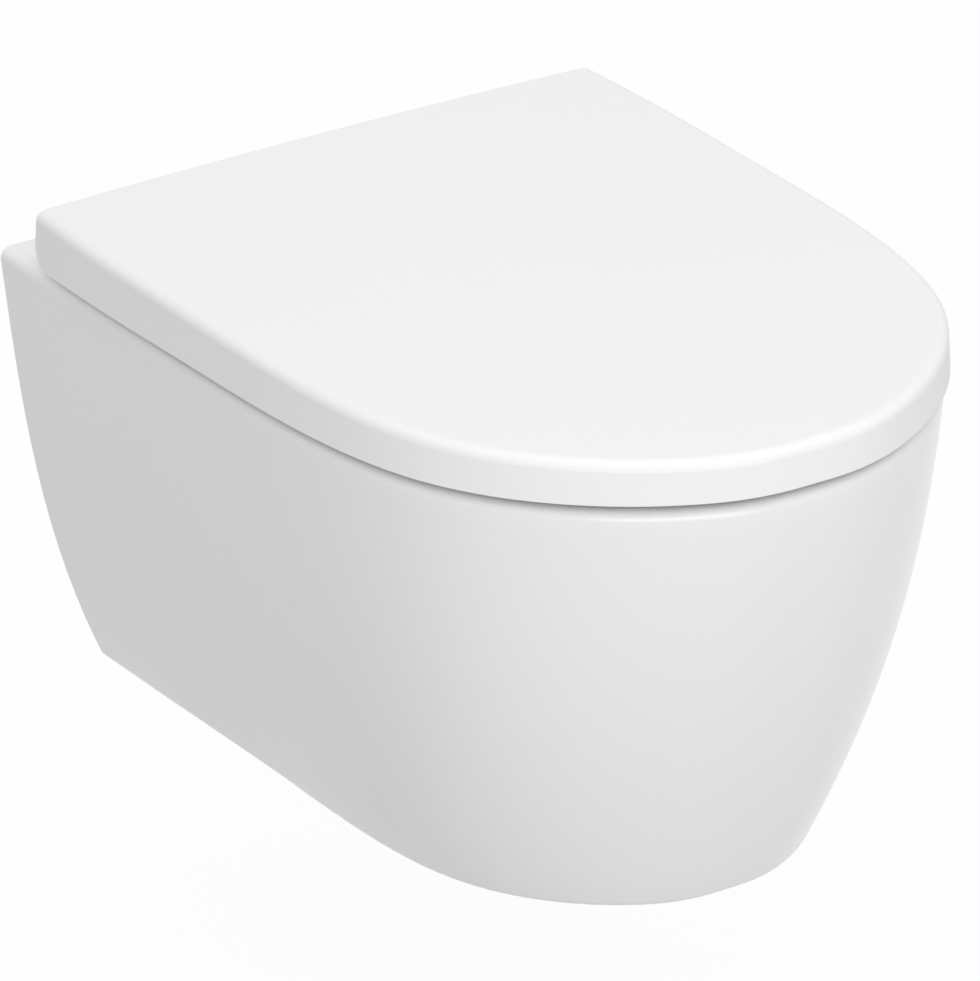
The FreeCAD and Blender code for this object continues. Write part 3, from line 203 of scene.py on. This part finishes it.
wall_band, sump_band, seam_margin = 0.0008, 0.005, 1e-5
most_to_wall = 0.3  # a shell face turned further than this towards the wall stays bare
slant, wide_slant = 0.8, 1.6
seam_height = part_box("pan_rim")[0][2]
sump_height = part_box("pan_bowl")[0][2] + sump_band
sump_points = [point.co.y for point in nodes["pan_bowl"].data.vertices if point.co.z < sump_height]
sump_middle = (min(sump_points) + max(sump_points)) / 2
straight_out = [(0.0, 0.0, 0.0)]
along_pipe = [(0.0, slant, 0.0), (0.0, -slant, 0.0), (0.0, 0.0, slant), (0.0, 0.0, -slant)]
across_pipe = [(wide_slant, 0.0, 0.0), (-wide_slant, 0.0, 0.0)]
in_pipe = straight_out + along_pipe + across_pipe
casts = []
for cast_name in ("rim", "shell", "bowl", "trapway", "inlet"):
    cast = merged_copy("pan_" + cast_name, "china_" + cast_name)
    cast.data.materials.append(bisque.material)
    cast.data.materials.append(glaze.material)
    enclosed = meets_itself(cast, in_pipe if cast_name == "trapway" else straight_out)
    for face, inner in zip(cast.data.polygons, enclosed):
        at_wall = face.center.y > -wall_band
        if cast_name == "rim":
            washed = face.center.z > seam_height + seam_margin
        elif cast_name == "shell":
            washed = not inner and face.normal.y < most_to_wall
        elif cast_name == "bowl":
            to_middle = Vector((-face.center.x, sump_middle - face.center.y, 0.0))
            washed = inner or face.normal.dot(to_middle) > 0.0
        else:
            washed = inner
        face.material_index = int(washed and not at_wall)
    casts.append(cast)

china = casts[0]
alone(china)
for cast in casts:
    cast.select_set(True)
bpy.ops.object.join()
china.name = "china"
china.data.name = "china"
bpy.ops.object.mode_set(mode="EDIT")
bpy.ops.mesh.select_all(action="SELECT")
bpy.ops.mesh.remove_doubles(threshold=seam_weld)
bpy.ops.object.mode_set(mode="OBJECT")
bpy.ops.object.shade_smooth_by_angle(angle=smooth_angle)
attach(china, "pan_body")
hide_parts("pan_rim", "pan_shell", "pan_bowl", "pan_trapway", "pan_inlet")


def finish(paint, *names):
    """Give CAD nodes a finish."""
    for name in names:
        nodes[name].material_slots[0].material = paint.material


# The inlet seal, the sealing ring of the spreader, the gaskets under the rosettes and the
# sleeves in the deck: black rubber, moulded with a faint bloom on its skin.

black_rubber = Paint("black rubber", IOR=1.5)
bloom = black_rubber.grain(120.0, detail=4.0)
skin_grain = black_rubber.grain(2500.0, detail=1.0)
black_rubber.set(
    Base_Color=black_rubber.blend(bloom, (0.022, 0.022, 0.023), (0.045, 0.045, 0.046)),
    Roughness=0.62 + bloom * 0.2,
    Normal=black_rubber.relief(skin_grain, 0.00004),
)
finish(black_rubber, "inlet_seal", "spreader_ring", "rosette_gaskets", "expansion_sleeves")

# The flush spreader and the bushes of the clamp screws: off-white nylon, smooth from the
# mould, with the slightly milky look of the bare plastic.

nylon = Paint("white nylon", IOR=1.53, Subsurface_Weight=0.06, Subsurface_Scale=0.004)
milk = nylon.grain(180.0, detail=2.0)
nylon.set(
    Base_Color=nylon.blend(milk, (0.84, 0.84, 0.83), (0.80, 0.80, 0.79)),
    Roughness=0.34 + milk * 0.12,
    Normal=nylon.relief(nylon.grain(1800.0, detail=1.0), 0.00002),
)
finish(nylon, "flush_spreader", "clamp_bushes")

# The wall brackets: glass filled nylon, dark grey, with the short fibres just showing in
# its matt skin.

filled_nylon = Paint("glass filled nylon", IOR=1.5)
fibres = filled_nylon.grain(700.0, detail=2.0, stretch=(1.0, 0.12, 1.0), distortion=0.6)
filled_nylon.set(
    Base_Color=filled_nylon.blend(fibres, (0.13, 0.135, 0.14), (0.20, 0.21, 0.22)),
    Roughness=0.45 + fibres * 0.25,
    Normal=filled_nylon.relief(fibres, 0.00005),
)
finish(filled_nylon, "wall_bracket_left", "wall_bracket_right")

# Nuts, washers, pins and studs, and the screws of the next section: turned and pressed steel
# with a thin zinc plating, bluish and a little cloudy.

zinc = Paint("zinc plated steel", Metallic=1.0)
spangle = zinc.grain(350.0, detail=3.0, distortion=0.8)
turning = zinc.grain(2600.0, detail=1.0, stretch=(1.0, 1.0, 0.15))
zinc.set(
    Base_Color=zinc.blend(spangle, (0.60, 0.61, 0.63), (0.50, 0.51, 0.53)),
    Roughness=0.24 + spangle * 0.18,
    Normal=zinc.relief(turning, 0.000015),
)
finish(zinc, "fixing_nuts", "fixing_washers", "hinge_studs", "cone_nuts")
finish(zinc, "hinge_pin_left", "hinge_pin_right")

# The screws of the hinge arms and of the wall fixing: their heads face down, with a cross
# recess in the eight small ones and a hexagon socket in the two big ones, pressed in cold.


def add_cross(place, size, depth):
    """Two crossing blades, as the punch of a cross recess has them."""
    thickness = size / 4
    for blade in ((size, thickness, depth), (thickness, size, depth)):
        bpy.ops.mesh.primitive_cube_add(size=1.0, location=place, scale=blade)
        yield bpy.context.object


def add_hexagon(place, size, depth):
    bpy.ops.mesh.primitive_cylinder_add(vertices=6, radius=size / 2, depth=depth, location=place)
    yield bpy.context.object


def press_heads(node_name, piece_name, body, head_radius, add_punch, size, depth):
    """Replace screws by a copy with a recess in each head."""
    screws = merged_copy(node_name, piece_name)
    low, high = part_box(node_name)
    columns = {round(x, 5) for x in (low[0] + head_radius, high[0] - head_radius)}
    rows = {round(y, 5) for y in (low[1] + head_radius, high[1] - head_radius)}
    punches = []
    for x in sorted(columns):
        for y in sorted(rows):
            bpy.ops.object.select_all(action="DESELECT")
            punches += add_punch((x, y, low[2]), size, 2 * depth)
    alone(punches[0])
    for punch in punches:
        punch.select_set(True)
    bpy.ops.object.join()
    bpy.ops.object.transform_apply(location=True, rotation=True, scale=True)
    press = screws.modifiers.new("recess", "BOOLEAN")
    press.object = punches[0]
    press.solver = "EXACT"
    press.use_self = True
    alone(screws)
    bpy.ops.object.modifier_apply(modifier=press.name)
    bpy.data.objects.remove(punches[0])
    bpy.ops.object.shade_smooth_by_angle(angle=smooth_angle)
    screws.data.materials.clear()
    screws.data.materials.append(zinc.material)
    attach(screws, body)
    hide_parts(node_name)


small_head, small_recess = 0.0036, (0.0042, 0.0013)
big_head, big_recess = 0.0065, (0.0058, 0.003)
press_heads("lid_arm_screws", "lid_screws", "lid_body", small_head, add_cross, *small_recess)
press_heads("seat_arm_screws", "seat_screws", "seat_body", small_head, add_cross, *small_recess)
press_heads("clamp_screws", "wall_screws", "pan_body", big_head, add_hexagon, *big_recess)

# The rosettes and the hinge blocks: solid stainless steel, brushed to a satin finish with
# fine level strokes.

satin_steel = Paint("satin stainless steel", Metallic=1.0)
strokes = satin_steel.grain(5200.0, detail=2.0, stretch=(0.03, 0.03, 1.0))
smears = satin_steel.grain(40.0, detail=2.0)
satin_steel.set(
    Base_Color=satin_steel.blend(strokes, (0.66, 0.66, 0.67), (0.56, 0.56, 0.57)),
    Roughness=0.22 + strokes * 0.16 + smears * 0.06,
    Normal=satin_steel.relief(strokes, 0.000012),
)
finish(satin_steel, "rosette_left", "rosette_right", "hinge_block_left", "hinge_block_right")

# The release buttons in the fronts of the hinge blocks: smooth dark grey plastic.

button_grey = Paint("dark grey plastic", IOR=1.49)
touch = button_grey.grain(220.0, detail=3.0)
button_grey.set(
    Base_Color=button_grey.blend(touch, (0.29, 0.31, 0.33), (0.33, 0.35, 0.37)),
    Roughness=0.22 + touch * 0.14,
    Normal=button_grey.relief(button_grey.grain(1600.0, detail=1.0), 0.000012),
)
finish(button_grey, "release_button_left", "release_button_right")

# The hinge arms with their dampers and bushes: pale grey plastic with a fine spark grain
# from the mould.

arm_grey = Paint("pale grey plastic", IOR=1.49)
spark = arm_grey.grain(3200.0, detail=2.0)
shade = arm_grey.grain(30.0, detail=1.0)
arm_grey.set(
    Base_Color=arm_grey.blend(shade, (0.75, 0.76, 0.77), (0.71, 0.72, 0.73)),
    Roughness=0.42 + spark * 0.16,
    Normal=arm_grey.relief(spark, 0.00003),
)
finish(arm_grey, "lid_hinge_arm_left", "lid_hinge_arm_right", "lid_damper", "lid_bush")
finish(arm_grey, "seat_hinge_arm_left", "seat_hinge_arm_right", "seat_damper", "seat_bush")

# The seat and the lid: thick mouldings of a hard white resin, buffed to a shine that is a
# little softer than the glaze beside it.

resin = Paint("white resin", IOR=1.50, Specular_IOR_Level=0.2)
flow = resin.grain(5.0, detail=1.0)
swirl = resin.grain(90.0, detail=1.0)
resin.set(
    Base_Color=resin.blend(flow, (0.868, 0.868, 0.868), (0.860, 0.861, 0.862)),
    Roughness=0.36 + flow * 0.05 + swirl * 0.03,
    Normal=resin.relief(swirl, 0.00003),
)
finish(resin, "seat", "lid")

# Eight buffers keep seat and lid off what they close on: a soft rubber, greyish and a
# little clear.

clear_rubber = Paint("clear rubber", IOR=1.45, Subsurface_Weight=0.2, Subsurface_Scale=0.003)
haze = clear_rubber.grain(300.0, detail=2.0)
clear_rubber.set(
    Base_Color=clear_rubber.blend(haze, (0.72, 0.72, 0.69), (0.66, 0.66, 0.64)),
    Roughness=0.35 + haze * 0.15,
    Normal=clear_rubber.relief(clear_rubber.grain(1500.0, detail=1.0), 0.00002),
)
finish(clear_rubber, "seat_buffers", "lid_buffers")

# The room: a plain pale floor, as far below the rim as it is in a bathroom, even light
# from all round, a soft lamp overhead and another in front, and a camera that looks down
# from the front left.

rim_above_floor, floor_side = 0.40, 40.0
floor_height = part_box("pan_rim")[1][2] - rim_above_floor
bpy.ops.object.select_all(action="DESELECT")
bpy.ops.mesh.primitive_plane_add(size=floor_side, location=(0.0, 0.0, floor_height))
floor = bpy.context.object
floor.name = "floor"
bpy.ops.object.transform_apply(location=True, rotation=False, scale=False)


def shown_white(recipe, lit, light, strength, share, end):
    """Mix plain white into a shader for camera, glossy and transmission rays."""
    seen = 0.0
    for ray in ("Is Camera Ray", "Is Glossy Ray", "Is Transmission Ray"):
        shown = recipe.node("ShaderNodeLightPath", {}, output=ray)
        seen = shown.larger(seen)
    white = recipe.node(light, {}, {"Color": (1.0, 1.0, 1.0, 1.0), "Strength": strength})
    shader = Socket(recipe, lit.outputs[0])
    mixed = recipe.node("ShaderNodeMixShader", {}, [seen * share, shader, white])
    recipe.feed(recipe.tree.nodes[end].inputs[0], mixed)


floor_paint = Paint("pale floor", IOR=1.4)
dust = floor_paint.grain(3.0)
floor_paint.set(
    Base_Color=floor_paint.blend(dust, (0.44, 0.44, 0.44), (0.43, 0.43, 0.43)),
    Roughness=0.9 + dust * 0.05,
)
floor.data.materials.append(floor_paint.material)
floor_white, floor_share = 1.055, 0.9
shown_white(
    floor_paint,
    floor_paint.shader,
    "ShaderNodeEmission",
    floor_white,
    floor_share,
    "Material Output",
)

room = bpy.data.worlds.new("room")
bpy.context.scene.world = room
room_light = Recipe(room)
sky = room_light.tree.nodes["Background"]
sky_strength = 0.745
sky.inputs["Color"].default_value = (1.0, 1.0, 1.0, 1.0)
sky.inputs["Strength"].default_value = sky_strength
shown_white(room_light, sky, "ShaderNodeBackground", 1.0, 1.0, "World Output")


lamp_target = Vector((0.0, -0.25, 0.0))


def softbox(name, place, width, height, power):
    """A wide soft lamp, turned towards the middle of the toilet."""
    lamp = bpy.data.lights.new(name, "AREA")
    lamp.shape = "RECTANGLE"
    lamp.size = width
    lamp.size_y = height
    lamp.energy = power
    stand = bpy.data.objects.new(name, lamp)
    stand.location = place
    aim = lamp_target - Vector(place)
    stand.rotation_euler = aim.to_track_quat("-Z", "Y").to_euler()
    stand.visible_camera = False
    bpy.context.scene.collection.objects.link(stand)


softbox("lamp overhead", (-0.08, -0.78, 2.55), 2.0, 2.0, 17.0)
softbox("lamp in front", (-0.9, -3.0, 0.40), 2.6, 1.6, 30.5)

camera = bpy.data.objects.new("camera", bpy.data.cameras.new("camera"))
bpy.context.scene.collection.objects.link(camera)
bpy.context.scene.camera = camera
turn, rise = math.radians(-34.304), math.radians(24.792)
back = Vector((math.sin(turn) * math.cos(rise), -math.cos(turn) * math.cos(rise), math.sin(rise)))
camera_target, camera_distance = Vector((-0.022363, -0.238263, -0.013767)), 5.8654
camera.location = camera_target + camera_distance * back
camera.rotation_euler = (-back).to_track_quat("-Z", "Y").to_euler()
camera.data.lens = 403.9
bpy.context.scene.view_settings.view_transform = "Standard"
